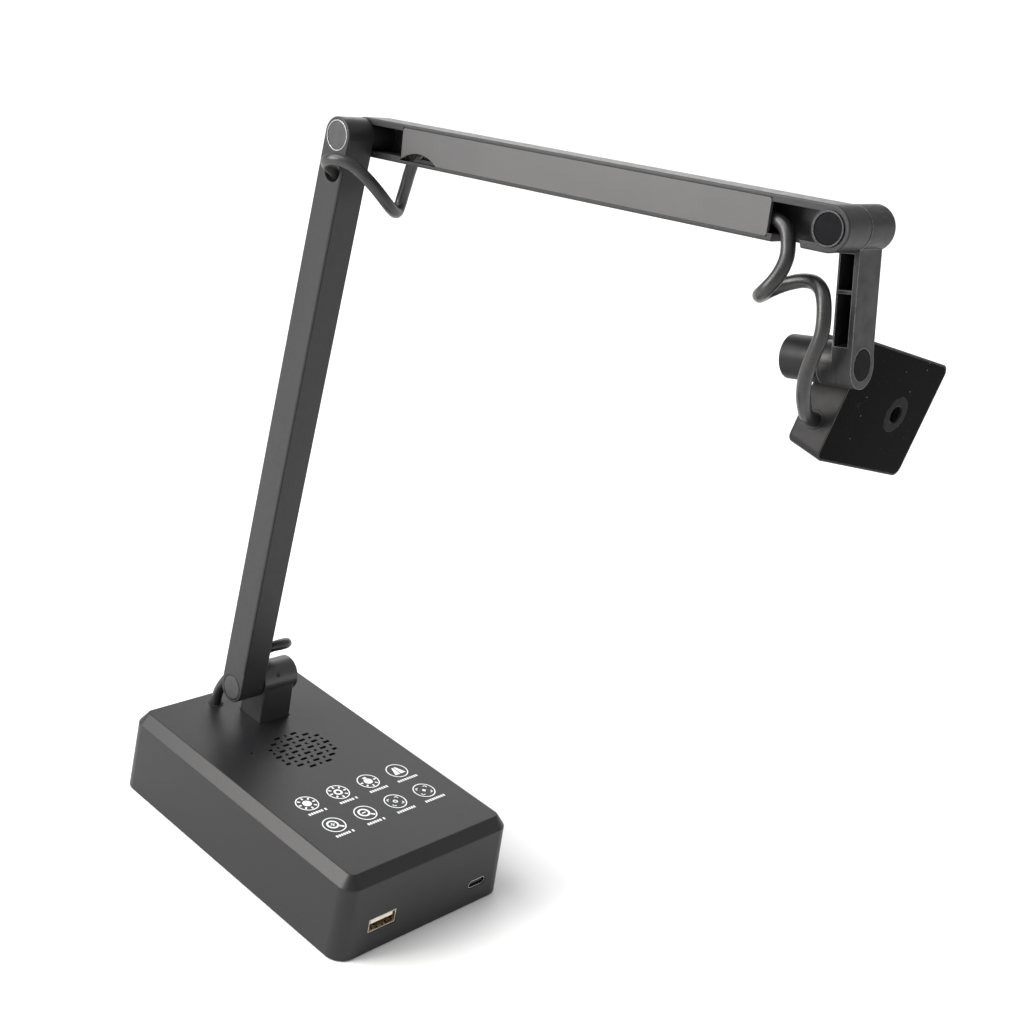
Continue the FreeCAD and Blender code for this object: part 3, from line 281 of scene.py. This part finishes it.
class Finish:
    """A Principled material with helpers for the procedural patterns that its surface needs."""

    def __init__(self, name, colour, rough, metallic=0.0, specular=0.5):
        self.material = bpy.data.materials.new(name)
        self.material.use_nodes = True
        self.tree = self.material.node_tree
        self.shader = self.tree.nodes["Principled BSDF"]
        self.shader.inputs["Base Color"].default_value = (*colour, 1.0)
        self.shader.inputs["Roughness"].default_value = rough
        self.shader.inputs["Metallic"].default_value = metallic
        self.shader.inputs["Specular IOR Level"].default_value = specular
        self.colour = colour
        self.rough = rough
        self.place = self.add("ShaderNodeTexCoord").outputs["Object"]
        self.colour_out = None
        self.normal_out = None
        self.edge_out = None

    def add(self, kind, **inputs):
        node = self.tree.nodes.new(kind)
        for key, value in inputs.items():
            socket = node.inputs[key.replace("_", " ")]
            if isinstance(value, bpy.types.NodeSocket):
                self.tree.links.new(value, socket)
            else:
                socket.default_value = value
        return node

    def noise(self, scale, detail=3.0, roughness=0.55, stretch=(1.0, 1.0, 1.0), turn=(0.0, 0.0, 0.0)):
        mapping = self.add("ShaderNodeMapping", Vector=self.place, Scale=stretch, Rotation=turn)
        node = self.add("ShaderNodeTexNoise", Vector=mapping.outputs["Vector"], Scale=scale, Detail=detail,
                        Roughness=roughness)
        return node.outputs["Fac"]

    def ramp(self, value, low, high, out_low=0.0, out_high=1.0):
        node = self.add("ShaderNodeMapRange")
        self.tree.links.new(value, node.inputs["Value"])
        node.inputs["From Min"].default_value = low
        node.inputs["From Max"].default_value = high
        node.inputs["To Min"].default_value = out_low
        node.inputs["To Max"].default_value = out_high
        return node.outputs["Result"]

    def mix_colour(self, factor, other):
        """Mixes another colour over the present one."""
        node = self.tree.nodes.new("ShaderNodeMix")
        node.data_type = "RGBA"
        self.tree.links.new(factor, node.inputs[0])
        if self.colour_out is None:
            node.inputs[6].default_value = (*self.colour, 1.0)
        else:
            self.tree.links.new(self.colour_out, node.inputs[6])
        node.inputs[7].default_value = (*other, 1.0)
        self.colour_out = node.outputs[2]
        self.tree.links.new(self.colour_out, self.shader.inputs["Base Color"])
        return self

    def vary_colour(self, other, scale, low=0.35, high=0.65, **pattern):
        return self.mix_colour(self.ramp(self.noise(scale, **pattern), low, high), other)

    def vary_rough(self, spread, scale, **pattern):
        value = self.ramp(self.noise(scale, **pattern), 0.3, 0.7, self.rough - spread, self.rough + spread)
        self.tree.links.new(value, self.shader.inputs["Roughness"])
        return self

    def bump(self, height, strength, distance):
        node = self.add("ShaderNodeBump", Strength=strength, Distance=distance, Height=height)
        if self.normal_out is not None:
            self.tree.links.new(self.normal_out, node.inputs["Normal"])
        self.normal_out = node.outputs["Normal"]
        self.tree.links.new(self.normal_out, self.shader.inputs["Normal"])
        return self

    def grain(self, scale, strength, distance=0.00004, **pattern):
        """Fine relief, such as moulded texture or bead-blasting."""
        return self.bump(self.noise(scale, **pattern), strength, distance)

    def soft_edges(self, radius):
        """Rounds the look of sharp edges, so that they catch a thin line of light."""
        node = self.tree.nodes.new("ShaderNodeBevel")
        node.samples = 6
        node.inputs["Radius"].default_value = radius
        self.normal_out = node.outputs["Normal"]
        self.tree.links.new(self.normal_out, self.shader.inputs["Normal"])
        return self

    def edge_highlight_and_darkening(self, radius, colour, amount, scale=900.0):
        """Edges tinted unevenly towards a colour: a light colour paints a highlight along them, a dark one
        darkens them.
        """
        node = self.tree.nodes.new("ShaderNodeBevel")
        node.samples = 6
        node.inputs["Radius"].default_value = radius
        flat = self.tree.nodes.new("ShaderNodeNewGeometry")
        dot = self.tree.nodes.new("ShaderNodeVectorMath")
        dot.operation = "DOT_PRODUCT"
        self.tree.links.new(node.outputs["Normal"], dot.inputs[0])
        self.tree.links.new(flat.outputs["Normal"], dot.inputs[1])
        edge = self.ramp(dot.outputs["Value"], 0.995, 0.85, 0.0, amount)
        patchy = self.ramp(self.noise(scale, detail=4.0), 0.35, 0.6, 0.35, 1.0)
        both = self.tree.nodes.new("ShaderNodeMath")
        both.operation = "MULTIPLY"
        self.tree.links.new(edge, both.inputs[0])
        self.tree.links.new(patchy, both.inputs[1])
        return self.mix_colour(both.outputs["Value"], colour)

    def specks(self, colour, scale, size, share, amount=0.8):
        """Sparse dust: small spots at the points of a cell pattern, thinned out by a coarser noise."""
        cells = self.tree.nodes.new("ShaderNodeTexVoronoi")
        self.tree.links.new(self.place, cells.inputs["Vector"])
        cells.inputs["Scale"].default_value = scale
        near = self.ramp(cells.outputs["Distance"], size, size * 0.4, 0.0, amount)
        picked = self.tree.nodes.new("ShaderNodeSeparateColor")
        self.tree.links.new(cells.outputs["Color"], picked.inputs["Color"])
        chosen = self.ramp(picked.outputs["Red"], 1.0 - share, 1.0 - share + 0.01)
        both = self.tree.nodes.new("ShaderNodeMath")
        both.operation = "MULTIPLY"
        self.tree.links.new(near, both.inputs[0])
        self.tree.links.new(chosen, both.inputs[1])
        return self.mix_colour(both.outputs["Value"], colour)


def case_plastic():
    f = Finish("case_plastic", (0.0095, 0.0095, 0.0110), 0.42, specular=0.36)
    f.soft_edges(0.0004)
    f.vary_colour((0.0105, 0.0104, 0.0112), 1400.0, detail=2.0)
    f.vary_rough(0.02, 1800.0)
    return f.grain(5200.0, 0.22, detail=2.0)


def post_plastic():
    """The hinge post is a little shinier than the case."""
    f = Finish("post_plastic", (0.019, 0.019, 0.0205), 0.36, specular=0.7)
    f.soft_edges(0.0004)
    f.vary_colour((0.018, 0.0178, 0.0185), 500.0, detail=3.0)
    f.vary_rough(0.04, 700.0)
    return f.grain(5200.0, 0.22, detail=2.0)


def bottom_plastic():
    f = Finish("bottom_plastic", (0.015, 0.015, 0.016), 0.55)
    f.soft_edges(0.0003)
    f.vary_colour((0.020, 0.020, 0.021), 60.0)
    return f.grain(2600.0, 0.45, detail=3.0)


def head_plastic():
    f = Finish("head_plastic", (0.0085, 0.0085, 0.0095), 0.44, specular=0.22)
    f.soft_edges(0.0004)
    f.vary_colour((0.011, 0.0105, 0.011), 70.0, detail=2.0)
    f.vary_rough(0.05, 300.0)
    return f.grain(5200.0, 0.20, detail=2.0)


ARM_HALF = 0.00625
DARK_LINE_WIDTH = 0.0011


def arm_metal():
    """Black anodised aluminium with a fine bead-blasted surface and edges painted unevenly darker."""
    f = Finish("arm_anodised", (0.016, 0.016, 0.0175), 0.42, specular=0.35)
    f.soft_edges(0.00035)
    f.vary_colour((0.019, 0.0187, 0.0195), 55.0, detail=3.0, stretch=(1.0, 1.0, 0.15))
    # Edges painted darker, unevenly.
    f.edge_highlight_and_darkening(0.0006, (0.0025, 0.0025, 0.003), 0.9)
    f.vary_rough(0.05, 420.0)
    return f.grain(6500.0, 0.25, detail=2.0)


def joint_place(name):
    joint = next(joint for joint in frame["record"]["behaviour"]["joints"] if joint["name"] == name)
    return Vector(joint["pos_m"])


def lower_arm_metal():
    """The lower arm has a dark line painted along the front edge of its left face."""
    f = arm_metal()
    hinge, elbow = joint_place("base_hinge"), joint_place("elbow_hinge")
    along = (elbow - hinge).normalized()
    front = along.cross(Vector((1.0, 0.0, 0.0)))
    if front.y > 0.0:
        front.negate()
    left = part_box("lower_arm")[0].x - hinge.x

    def measure(direction):
        offset = f.tree.nodes.new("ShaderNodeVectorMath")
        offset.operation = "SUBTRACT"
        f.tree.links.new(f.place, offset.inputs[0])
        offset.inputs[1].default_value = hinge
        dot = f.tree.nodes.new("ShaderNodeVectorMath")
        dot.operation = "DOT_PRODUCT"
        f.tree.links.new(offset.outputs["Vector"], dot.inputs[0])
        dot.inputs[1].default_value = direction
        return dot.outputs["Value"]

    def both(first, second):
        node = f.tree.nodes.new("ShaderNodeMath")
        node.operation = "MULTIPLY"
        f.tree.links.new(first, node.inputs[0])
        f.tree.links.new(second, node.inputs[1])
        return node.outputs["Value"]

    # A near-black line painted along the front edge of the left face, between the arm's ends.
    edge = f.ramp(measure(front), ARM_HALF - DARK_LINE_WIDTH, ARM_HALF - DARK_LINE_WIDTH + 0.0001)
    face = f.ramp(measure(Vector((1.0, 0.0, 0.0))), left + 0.0005, left + 0.0003)
    end = (elbow - hinge).length - 0.0095
    low = f.ramp(measure(along), 0.0090, 0.0095)
    high = f.ramp(measure(along), end, end - 0.0005)
    f.mix_colour(both(both(edge, face), both(low, high)), (0.0006, 0.0006, 0.0008))
    return f


def link_metal():
    """The link is finished as the arms, with a lengthwise brushed streak and a painted highlight along its
    edges.
    """
    f = Finish("link_anodised", (0.010, 0.010, 0.0115), 0.40, specular=0.30)
    f.soft_edges(0.00045)
    f.vary_colour((0.021, 0.021, 0.022), 160.0, detail=5.0, stretch=(1.0, 5.0, 0.25))
    # Painted highlight: a light line along the link's edges.
    f.edge_highlight_and_darkening(0.0004, (0.32, 0.32, 0.32), 0.9)
    f.vary_rough(0.09, 240.0, detail=4.0, stretch=(1.0, 5.0, 0.25))
    return f.grain(6500.0, 0.22, detail=2.0)


def cover_metal():
    """The cover plates are a little lighter and smoother than the channel they close."""
    f = Finish("cover_satin", (0.048, 0.048, 0.050), 0.38, specular=0.6)
    f.soft_edges(0.0002)
    f.vary_colour((0.054, 0.053, 0.054), 35.0, detail=2.0)
    f.vary_rough(0.03, 120.0, stretch=(1.0, 0.2, 1.0))
    return f.grain(5000.0, 0.10, detail=2.0)


def cable_jacket():
    f = Finish("cable_jacket", (0.012, 0.012, 0.013), 0.34)
    f.vary_colour((0.019, 0.018, 0.018), 300.0, detail=4.0)
    f.vary_rough(0.07, 500.0, detail=4.0)
    return f.grain(2300.0, 0.18, distance=0.00005, detail=4.0)


def rubber(name, colour):
    f = Finish(name, colour, 0.62, specular=0.35)
    f.soft_edges(0.0003)
    f.vary_colour(tuple(c * 1.5 for c in colour), 220.0)
    f.vary_rough(0.08, 600.0)
    return f.grain(2600.0, 0.4, detail=4.0)


def gloss_panel():
    """Gloss black lid with dust specks, hairline scratches and a painted highlight along its edges."""
    f = Finish("gloss_panel", (0.0012, 0.0012, 0.0016), 0.12, specular=0.015)
    f.soft_edges(0.00025)
    # Painted highlight: a light line along the lid's lip.
    f.edge_highlight_and_darkening(0.0003, (0.16, 0.16, 0.16), 0.8)
    f.specks((0.30, 0.30, 0.29), 700.0, 0.16, 0.07)
    f.specks((0.20, 0.20, 0.20), 2100.0, 0.20, 0.05, 0.6)
    f.vary_rough(0.05, 140.0, detail=5.0)
    scratch = f.noise(90.0, detail=6.0, roughness=0.7, stretch=(1.0, 1.0, 14.0), turn=(0.3, 0.5, 0.9))
    return f.bump(f.ramp(scratch, 0.62, 0.66), 0.12, 0.00002)


def metal(name, colour, rough, scale=900.0, stretch=(1.0, 1.0, 1.0), strength=0.12):
    f = Finish(name, colour, rough, metallic=1.0)
    f.soft_edges(0.00015)
    f.vary_colour(tuple(c * 0.72 for c in colour), 420.0, detail=4.0)
    f.vary_rough(min(0.1, rough * 0.4), scale, detail=4.0, stretch=stretch)
    return f.grain(scale * 2.0, strength, distance=0.00003, detail=3.0, stretch=stretch)


def thread_black():
    """Blackened insert with a painted highlight along its rims and thread crests."""
    f = Finish("thread_black", (0.0016, 0.0016, 0.0020), 0.22, specular=0.05)
    f.soft_edges(0.00012)
    # Painted highlight: light lines on the rims and thread crests.
    f.edge_highlight_and_darkening(0.00012, (0.22, 0.22, 0.22), 0.8)
    return f.grain(3000.0, 0.1, distance=0.00002)


def cap_rings():
    """The ring at the elbow is bright, and the one at the base is dull."""
    f = Finish("bright_ring", (0.06, 0.06, 0.065), 0.26, metallic=1.0)
    f.soft_edges(0.00015)
    height = f.add("ShaderNodeSeparateXYZ", Vector=f.place).outputs["Z"]
    f.mix_colour(f.ramp(height, 0.14, 0.16), (0.42, 0.42, 0.42))
    f.vary_rough(0.08, 900.0, detail=4.0)
    return f.grain(1800.0, 0.12, distance=0.00003)


def plastic(name, colour, rough, tint=1.3, grain=0.2, specular=0.5):
    f = Finish(name, colour, rough, specular=specular)
    f.soft_edges(0.00015)
    f.vary_colour(tuple(min(1.0, c * tint) for c in colour), 500.0)
    f.vary_rough(0.06, 900.0)
    return f.grain(4000.0, grain, detail=2.0)


def circuit_board():
    """Green solder mask with a faint pattern of tracks and tinned pads."""
    f = Finish("circuit_board", (0.012, 0.075, 0.028), 0.32)
    f.soft_edges(0.0001)
    tracks = f.tree.nodes.new("ShaderNodeTexBrick")
    f.tree.links.new(f.place, tracks.inputs["Vector"])
    tracks.inputs["Scale"].default_value = 260.0
    tracks.inputs["Mortar Size"].default_value = 0.035
    f.mix_colour(f.ramp(tracks.outputs["Fac"], 0.2, 0.8, 0.0, 0.6), (0.03, 0.16, 0.06))
    f.specks((0.62, 0.60, 0.55), 420.0, 0.22, 0.35, 0.9)
    return f.grain(1800.0, 0.15)


def lens_glass():
    f = Finish("lens_glass", (0.006, 0.008, 0.016), 0.03, specular=0.8)
    f.shader.inputs["Coat Weight"].default_value = 1.0
    f.shader.inputs["Coat Roughness"].default_value = 0.02
    f.shader.inputs["Coat IOR"].default_value = 1.7
    f.vary_colour((0.018, 0.010, 0.032), 160.0, detail=1.0)
    return f


def led_window():
    f = Finish("led_window", (0.78, 0.78, 0.72), 0.28)
    f.shader.inputs["Subsurface Weight"].default_value = 0.2
    f.shader.inputs["Subsurface Scale"].default_value = 0.002
    f.soft_edges(0.0002)
    f.vary_colour((0.86, 0.84, 0.70), 500.0)
    return f.grain(1500.0, 0.3)


def speaker_cloth():
    """Dark woven dust cloth: two sets of threads."""
    f = Finish("speaker_cloth", (0.010, 0.010, 0.011), 0.8, specular=0.25)
    for direction in ("X", "Y"):
        waves = f.tree.nodes.new("ShaderNodeTexWave")
        f.tree.links.new(f.place, waves.inputs["Vector"])
        waves.bands_direction = direction
        waves.inputs["Scale"].default_value = 520.0
        waves.inputs["Distortion"].default_value = 0.6
        f.bump(waves.outputs["Fac"], 0.5, 0.00006)
        f.mix_colour(f.ramp(waves.outputs["Fac"], 0.5, 1.0, 0.0, 0.35), (0.030, 0.030, 0.032))
    return f


def key_ink():
    """Screen-printed white ink, slightly uneven."""
    f = Finish("key_ink", (0.80, 0.81, 0.81), 0.5)
    f.vary_colour((0.66, 0.67, 0.68), 1800.0, detail=4.0)
    f.vary_rough(0.08, 2500.0)
    return f.grain(6000.0, 0.3, distance=0.00001)


MATERIALS = {
    "case": case_plastic(), "post": post_plastic(), "bottom": bottom_plastic(),
    "head": head_plastic(), "arm": arm_metal(), "lower_arm": lower_arm_metal(),
    "cover": cover_metal(), "cable": cable_jacket(), "pad": rubber("pad_rubber", (0.012, 0.012, 0.012)),
    "grommet": rubber("grommet_rubber", (0.011, 0.011, 0.012)), "panel": gloss_panel(),
    "screw": metal("screw_steel", (0.30, 0.30, 0.31), 0.34),
    "black_screw": metal("black_screw", (0.06, 0.06, 0.065), 0.38),
    "shaft": metal("shaft_steel", (0.42, 0.42, 0.43), 0.25, stretch=(0.1, 1.0, 1.0)),
    "ballast": metal("ballast_steel", (0.36, 0.35, 0.34), 0.5, scale=300.0),
    "socket": metal("socket_nickel", (0.72, 0.66, 0.54), 0.24),
    "socket_c": metal("socket_steel", (0.62, 0.62, 0.63), 0.26),
    "gold": metal("contact_gold", (0.85, 0.60, 0.24), 0.22),
    "ring": cap_rings(),
    "dim_ring": metal("dim_ring", (0.07, 0.07, 0.075), 0.30),
    "thread": thread_black(),
    "tongue": plastic("socket_tongue", (0.78, 0.72, 0.60), 0.45, tint=1.08),
    "tongue_c": plastic("socket_dark", (0.012, 0.012, 0.012), 0.45),
    "cap": plastic("cap_black", (0.025, 0.025, 0.027), 0.46, grain=0.5),
    "dark_cap": plastic("dark_cap", (0.005, 0.005, 0.006), 0.55, grain=0.3, specular=0.06),
    "link": link_metal(),
    "lens_black": plastic("lens_black", (0.006, 0.006, 0.007), 0.40),
    "board": circuit_board(), "magnet": metal("speaker_magnet", (0.25, 0.25, 0.26), 0.42),
    "cloth": speaker_cloth(), "speaker": plastic("speaker_black", (0.012, 0.012, 0.013), 0.5),
    "glass": lens_glass(), "led": led_window(), "ink": key_ink(),
}

NODE_FINISH = {
    "top_cover": "case", "bottom_cover": "bottom", "base_pad": "pad", "case_screws": "black_screw",
    "ballast_plate": "ballast", "main_board": "board", "usb_a_shell": "socket",
    "usb_a_tongue": "tongue", "usb_a_contacts": "gold", "usb_c_shell": "socket_c",
    "usb_c_tongue": "tongue_c", "touch_board": "board", "speaker_frame": "speaker",
    "speaker_magnet": "magnet", "speaker_cone": "cloth", "microphone": "screw",
    "cable_grommet": "grommet", "hinge_post": "post", "post_screws": "black_screw",
    "lower_arm": "lower_arm", "lower_arm_cover": "arm", "base_hinge_shaft": "shaft",
    "base_hinge_nut": "screw", "base_hinge_plug": "cap", "lower_arm_caps": "cap",
    "lower_arm_cap_rings": "ring", "elbow_shaft": "shaft", "elbow_nut": "screw", "upper_arm": "arm",
    "upper_arm_cover": "cover", "upper_arm_plug": "cap", "wrist_cap": "dark_cap",
    "wrist_cap_ring": "dim_ring", "wrist_shaft": "shaft", "wrist_nut": "screw", "wrist_link": "link",
    "wrist_plug": "cap", "pivot_cap": "dark_cap", "pivot_shaft": "shaft", "pivot_nut": "screw",
    "pivot_plug": "cap", "head_shell": "head", "head_panel": "panel", "tripod_insert": "thread",
    "camera_board": "board", "lens_barrel": "lens_black", "lens_glass": "glass",
    "lens_bezel": "lens_black", "led_windows": "led", "led_board": "board", "board_screws": "screw",
    "head_grommet": "grommet", "base_cable_tail": "cable", "head_cable_tail": "cable",
    "base_cable_loop": "cable", "lower_arm_cable": "cable", "elbow_cable_loop": "cable",
    "upper_arm_cable": "cable", "wrist_cable_loop": "cable", "head_cable_loop": "cable",
}


def paint(piece, finish):
    """Puts a finish in every material slot of an object, without touching its mesh."""
    if not piece.material_slots:
        piece.data.materials.append(MATERIALS[finish].material)
    for slot in piece.material_slots:
        slot.link = "OBJECT"
        slot.material = MATERIALS[finish].material


for node, finish in NODE_FINISH.items():
    paint(frame["nodes"][node], finish)
for cable in CABLES:
    cable.data.materials.append(MATERIALS["cable"].material)

# ---------------------------------------------------------------- key prints

TOP_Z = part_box("top_cover")[1].z
INK_LIFT = 0.00004
INK_THICK = 0.00003
KEY_X = [-0.0227, -0.00745, 0.00785, 0.0230]
KEY_Y = [-0.0202, -0.0362]
RING_R = 0.00457
RING_LINE = 0.00045


def flat_solid(mesh, outline, hole=()):
    """One printed shape: an outline, with a hole that has as many points, raised by the ink's thickness."""
    low = TOP_Z + INK_LIFT
    count = len(outline)
    loops = [outline] + ([hole] if hole else [])
    levels = []
    for lift in (0.0, INK_THICK):
        levels.append([[mesh.verts.new((x, y, low + lift)) for x, y in loop] for loop in loops])
    for k in range(count):
        n = (k + 1) % count
        for i in range(len(loops)):
            mesh.faces.new((levels[0][i][k], levels[0][i][n], levels[1][i][n], levels[1][i][k]))
        if hole:
            for level in levels:
                mesh.faces.new((level[0][k], level[0][n], level[1][n], level[1][k]))
    if not hole:
        for level in levels:
            mesh.faces.new(level[0])


def circle(x, y, r, count=48):
    return [(x + r * math.cos(2 * math.pi * k / count), y + r * math.sin(2 * math.pi * k / count))
            for k in range(count)]


def bar(x, y, length, width, angle):
    """Outline of a straight bar with its middle at x, y."""
    along = (math.cos(angle), math.sin(angle))
    return [(x + along[0] * a * length / 2 - along[1] * b * width / 2,
             y + along[1] * a * length / 2 + along[0] * b * width / 2)
            for a, b in ((-1, -1), (1, -1), (1, 1), (-1, 1))]


def rays(mesh, x, y, angles, r_in=0.0026, r_out=0.0038, width=0.0007):
    for degrees in angles:
        a = math.radians(degrees)
        mid = (r_in + r_out) / 2
        flat_solid(mesh, bar(x + mid * math.cos(a), y + mid * math.sin(a), r_out - r_in, width, a))


def sun(mesh, x, y, hollow):
    if hollow:
        flat_solid(mesh, circle(x, y, 0.0018), circle(x, y, 0.00095))
    else:
        flat_solid(mesh, circle(x, y, 0.0018))
    rays(mesh, x, y, range(0, 360, 45))


def lamp(mesh, x, y):
    flat_solid(mesh, circle(x, y, 0.0018))
    flat_solid(mesh, bar(x, y + 0.0024, 0.0017, 0.0009, 0.0))
    rays(mesh, x, y, (180, 0, 225, 270, 315))


def mirrored_wedges(mesh, x, y):
    """Two half trapezoids either side of an upright gap."""
    for side in (-1, 1):
        flat_solid(mesh, [(x + side * 0.0002, y + 0.0023), (x + side * 0.0010, y + 0.0023),
                          (x + side * 0.00265, y - 0.0023), (x + side * 0.0002, y - 0.0023)])


def magnifier(mesh, x, y, plus):
    cx, cy = x - 0.0004, y + 0.0004
    flat_solid(mesh, circle(cx, cy, 0.00245), circle(cx, cy, 0.00165))
    flat_solid(mesh, bar(x + 0.0019, y - 0.0019, 0.0022, 0.0009, math.radians(-45)))
    flat_solid(mesh, bar(cx, cy, 0.0019, 0.0005, 0.0))
    if plus:
        flat_solid(mesh, bar(cx, cy, 0.0019, 0.0005, math.radians(90)))


def focus_frame(mesh, x, y, round_dot):
    """Four corner brackets round a small mark."""
    for sx in (-1, 1):
        for sy in (-1, 1):
            flat_solid(mesh, bar(x + sx * 0.0020, y + sy * 0.0023, 0.0012, 0.00042, 0.0))
            flat_solid(mesh, bar(x + sx * 0.0025, y + sy * 0.0018, 0.0012, 0.00042, math.radians(90)))
    if round_dot:
        flat_solid(mesh, circle(x, y, 0.0010), circle(x, y, 0.0005))
    else:
        flat_solid(mesh, bar(x, y, 0.0013, 0.0013, math.radians(45)))


def caption_marks(mesh, x, y, words):
    """Rows of plain blocks under a key, one for each letter of a word that was left out."""
    block, gap, space, height = 0.00082, 0.00034, 0.0010, 0.00125
    total = sum(count * (block + gap) - gap for count in words) + space * (len(words) - 1)
    at = x - total / 2
    for count in words:
        for _ in range(count):
            flat_solid(mesh, bar(at + block / 2, y, block, height, 0.0))
            at += block + gap
        at += space - gap


def add_keys():
    icons = {
        (0, 0): lambda m, x, y: sun(m, x, y, False),
        (1, 0): lambda m, x, y: sun(m, x, y, True),
        (2, 0): lamp,
        (3, 0): mirrored_wedges,
        (0, 1): lambda m, x, y: magnifier(m, x, y, True),
        (1, 1): lambda m, x, y: magnifier(m, x, y, False),
        (2, 1): lambda m, x, y: focus_frame(m, x, y, True),
        (3, 1): lambda m, x, y: focus_frame(m, x, y, False)}
    words = {0: (6, 1), 1: (6, 1), 2: (8,), 3: (9,)}
    for (column, row), icon in icons.items():
        mesh = bmesh.new()
        x, y = KEY_X[column], KEY_Y[row]
        flat_solid(mesh, circle(x, y, RING_R, 96), circle(x, y, RING_R - RING_LINE, 96))
        icon(mesh, x, y)
        caption_marks(mesh, x, y - 0.0064, words[column])
        print_piece = object_from(f"key_print_{row + 1}_{column + 1}", mesh)
        paint(print_piece, "ink")
        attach(print_piece, "base")


add_keys()

# ---------------------------------------------------------------- threaded insert

THREAD_MINOR = 0.0026
THREAD_MAJOR = 0.00318
THREAD_PITCH = 0.00127
GROOVE_HALF = 0.42           # half width of a groove, in pitches
LEAD_IN = 0.00030            # plain bore before the first groove
LEAD_RAMP = 0.0005           # over which the grooves reach full depth
INSERT_DEPTH = 0.0057
BODY_R = 0.0046
FLANGE_R = 0.0056
FLANGE_DEPTH = 0.0013


def mount_depth(middle, out):
    """How far the insert's front face lies ahead of the mount's middle."""
    return max((vertex.co - middle).dot(out) for vertex in frame["nodes"]["tripod_insert"].data.vertices)


def add_thread():
    """The insert of the tripod thread, with real grooves: a turned profile, shifted along a helix."""
    mount = next(m for m in frame["record"]["mounts"] if m["name"] == "tripod_thread")
    out = Vector(mount["axis"]).normalized()
    middle = Vector(mount["pos_m"])
    front = middle + out * mount_depth(middle, out)
    side = out.orthogonal().normalized()
    across = out.cross(side)
    sides, steps = 72, 96
    mesh = bmesh.new()

    def ring(radius_at, deep_at):
        places = []
        for k in range(sides):
            turn = 2 * math.pi * k / sides
            radial = side * math.cos(turn) + across * math.sin(turn)
            places.append(mesh.verts.new(front - out * deep_at + radial * radius_at(turn)))
        return places

    def bore(deep_at):
        def radius(turn):
            phase = (deep_at / THREAD_PITCH + turn / (2 * math.pi)) % 1.0
            groove = max(0.0, 1.0 - abs(phase - 0.5) / GROOVE_HALF)
            lead = min(1.0, max(0.0, deep_at - LEAD_IN) / LEAD_RAMP)
            return THREAD_MINOR + (THREAD_MAJOR - THREAD_MINOR) * groove * lead
        return radius

    bevel = 0.00015
    loops = [ring(lambda turn: BODY_R, INSERT_DEPTH - 0.0002), ring(lambda turn: BODY_R, FLANGE_DEPTH),
             ring(lambda turn: FLANGE_R, FLANGE_DEPTH), ring(lambda turn: FLANGE_R, bevel),
             ring(lambda turn: FLANGE_R - bevel, 0.0), ring(lambda turn: THREAD_MINOR + 0.00040, 0.0)]
    loops += [ring(bore(INSERT_DEPTH * k / steps), INSERT_DEPTH * k / steps) for k in range(3, steps + 1)]
    loops.append(ring(lambda turn: BODY_R - 0.0002, INSERT_DEPTH))
    for first, second in zip(loops, loops[1:] + loops[:1]):
        for k in range(sides):
            mesh.faces.new((first[k], first[(k + 1) % sides], second[(k + 1) % sides], second[k]))
    piece = object_from("thread_insert", mesh)
    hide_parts("tripod_insert")
    paint(piece, "thread")
    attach(piece, "head")


add_thread()
